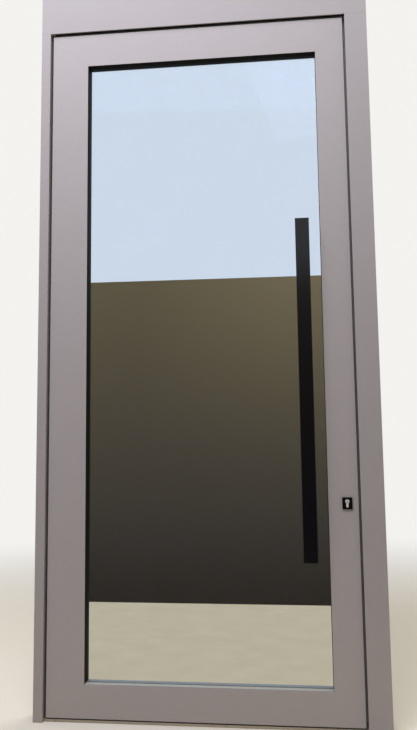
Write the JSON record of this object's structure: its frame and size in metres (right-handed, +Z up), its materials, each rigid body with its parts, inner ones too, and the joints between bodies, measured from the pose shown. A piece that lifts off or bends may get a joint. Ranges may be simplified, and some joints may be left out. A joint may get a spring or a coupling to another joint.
{
  "type": "glass entrance door",
  "caption": "Tall framed pivot door with a tinted pane in a mitred leaf, long flat pull bars, a cylinder deadlock and its frame.",
  "frame": {"origin": "middle of the frame's width and depth, at the sill", "axes": "+Z up, +X to the right seen from outside, +Y into the building"},
  "size_m": [1.5, 0.202, 3.3],
  "materials": {
    "painted": "satin powder coat",
    "dark_sill": "dark anodised",
    "pane": "tinted, reflective",
    "black_bar": "satin black",
    "bright": "satin nickel",
    "steel": "brushed",
    "cleat": "mill",
    "seal": "matte",
    "pile": "fibre pile",
    "nylon": "matte"
  },
  "bodies": {
    "frame": {"jamb_left": "painted", "jamb_right": "painted", "frame_head": "painted", "threshold": "dark_sill", "joint_block_left": "cleat", "joint_block_right": "cleat", "head_bolts": "steel", "frame_seal_left": "seal", "frame_seal_right": "seal", "strike_plate": "steel", "floor_pivot_plate": "steel", "floor_pivot_bearing": "steel", "top_pivot_housing": "steel", "top_pivot_pin": "steel"},
    "leaf": {"stile_left": "painted", "stile_right": "painted", "rail_top": "painted", "rail_bottom": "painted", "cleat_top_left": "cleat", "cleat_top_right": "cleat", "cleat_bottom_left": "cleat", "cleat_bottom_right": "cleat", "glass_pane": "pane", "outer_gasket": "seal", "inner_gasket": "seal", "bead_top": "painted", "bead_bottom": "painted", "bead_left": "painted", "bead_right": "painted", "setting_blocks": "nylon", "top_brushes": "pile", "bottom_brushes": "pile", "bottom_pivot_shoe": "steel", "top_pivot_shoe": "steel", "lock_case": "steel", "lock_faceplate": "steel", "cylinder_housing": "bright", "escutcheon_outer": "black_bar", "escutcheon_inner": "black_bar", "pull_bar_outer": "black_bar", "pull_bar_inner": "black_bar", "bar_caps": "black_bar", "bar_posts": "black_bar", "glass_bushes": "nylon"},
    "deadbolt": {"deadbolt": "steel"},
    "key_plug": {"key_plug": "bright"},
    "thumb_turn": {"thumb_turn": "black_bar", "lock_cam": "steel"}
  },
  "joints": [
    {"name": "leaf_swing", "type": "hinge", "parent": "frame", "child": "leaf", "pos_m": [-0.548, 0.005, 0.016], "axis": [0, 0, 1], "range_deg": [0, 90]},
    {"name": "bolt_slide", "type": "slide", "parent": "leaf", "child": "deadbolt", "axis": [1, 0, 0], "range_m": [0, 0.02]},
    {"name": "key_turn", "type": "hinge", "parent": "leaf", "child": "key_plug", "pos_m": [0.596, 0.025, 0.916], "axis": [0, 1, 0], "range_deg": [0, 360]},
    {"name": "knob_turn", "type": "hinge", "parent": "leaf", "child": "thumb_turn", "pos_m": [0.596, 0.025, 0.916], "axis": [0, 1, 0], "range_deg": [0, 360]}
  ],
  "couplings": [
    {"joint": "bolt_slide", "follows": "knob_turn", "m_per_rad": 0.0031831},
    {"joint": "key_turn", "follows": "knob_turn", "ratio": 1}
  ]
}
